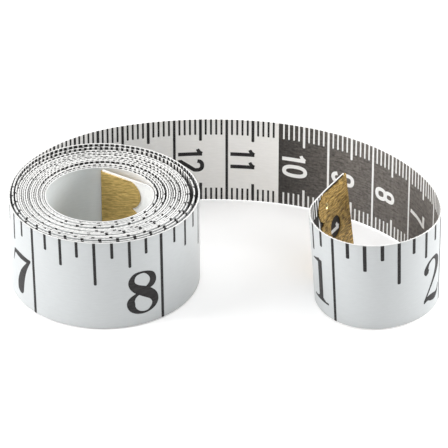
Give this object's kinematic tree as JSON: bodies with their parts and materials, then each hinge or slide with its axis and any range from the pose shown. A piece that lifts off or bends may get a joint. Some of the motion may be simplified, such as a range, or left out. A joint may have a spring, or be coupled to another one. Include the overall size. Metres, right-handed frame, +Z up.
{
  "type": "cloth tape measure",
  "caption": "Flexible dressmaker's tape measure: a narrow coated cloth band wound in a loose roll, its zero end led round behind and curled, with a folded brass tip on each end.",
  "frame": {"origin": "middle of the footprint on the table, at the band's lower edge", "axes": "+X along the longest side, from the roll to the curled end; +Y from the front to the back of the tape; +Z up, across the band's width"},
  "size_m": [0.079, 0.047, 0.0175],
  "materials": {
    "band": "satin vinyl coating over woven glass-fibre cloth, off-white with dark printed scales",
    "brass": "thin brushed brass sheet"
  },
  "bodies": {
    "roll": {"tape_roll": "band", "inner_end_tip": "brass"},
    "span_1": {"tape_span_1": "band"},
    "span_2": {"tape_span_2": "band"},
    "span_3": {"tape_span_3": "band"},
    "curl_1": {"tape_curl_1": "band"},
    "curl_2": {"tape_curl_2": "band"},
    "curl_3": {"tape_curl_3": "band"},
    "curl_4": {"tape_curl_4": "band", "zero_end_tip": "brass"}
  },
  "joints": [
    {"name": "span_peel", "type": "hinge", "parent": "roll", "child": "span_1", "pos_m": [-0.0389, 0.00012, 0.00875], "axis": [0, 0, 1], "range_deg": [0, 25], "stiffness_Nm_per_rad": 0.004},
    {"name": "span_flex_2", "type": "hinge", "parent": "span_1", "child": "span_2", "pos_m": [-0.0196, 0.02065, 0.00875], "axis": [0, 0, 1], "range_deg": [0, 25], "stiffness_Nm_per_rad": 0.004},
    {"name": "span_flex_3", "type": "hinge", "parent": "span_2", "child": "span_3", "pos_m": [0.00805, 0.02236, 0.00875], "axis": [0, 0, 1], "range_deg": [0, 25], "stiffness_Nm_per_rad": 0.004},
    {"name": "curl_open", "type": "hinge", "parent": "span_3", "child": "curl_1", "pos_m": [0.03185, 0.00869, 0.00875], "axis": [0, 0, 1], "range_deg": [-8, 50], "stiffness_Nm_per_rad": 0.005},
    {"name": "curl_flex_2", "type": "hinge", "parent": "curl_1", "child": "curl_2", "pos_m": [0.03931, -0.00948, 0.00875], "axis": [0, 0, 1], "range_deg": [-8, 50], "stiffness_Nm_per_rad": 0.005},
    {"name": "curl_flex_3", "type": "hinge", "parent": "curl_2", "child": "curl_3", "pos_m": [0.02936, -0.02294, 0.00875], "axis": [0, 0, 1], "range_deg": [-8, 50], "stiffness_Nm_per_rad": 0.005},
    {"name": "curl_flex_4", "type": "hinge", "parent": "curl_3", "child": "curl_4", "pos_m": [0.01568, -0.01453, 0.00875], "axis": [0, 0, 1], "range_deg": [-8, 50], "stiffness_Nm_per_rad": 0.005}
  ],
  "couplings": [
    {"joint": "span_flex_2", "follows": "span_peel", "ratio": 1},
    {"joint": "span_flex_3", "follows": "span_peel", "ratio": 1},
    {"joint": "curl_flex_2", "follows": "curl_open", "ratio": 1},
    {"joint": "curl_flex_3", "follows": "curl_open", "ratio": 1},
    {"joint": "curl_flex_4", "follows": "curl_open", "ratio": 1}
  ]
}
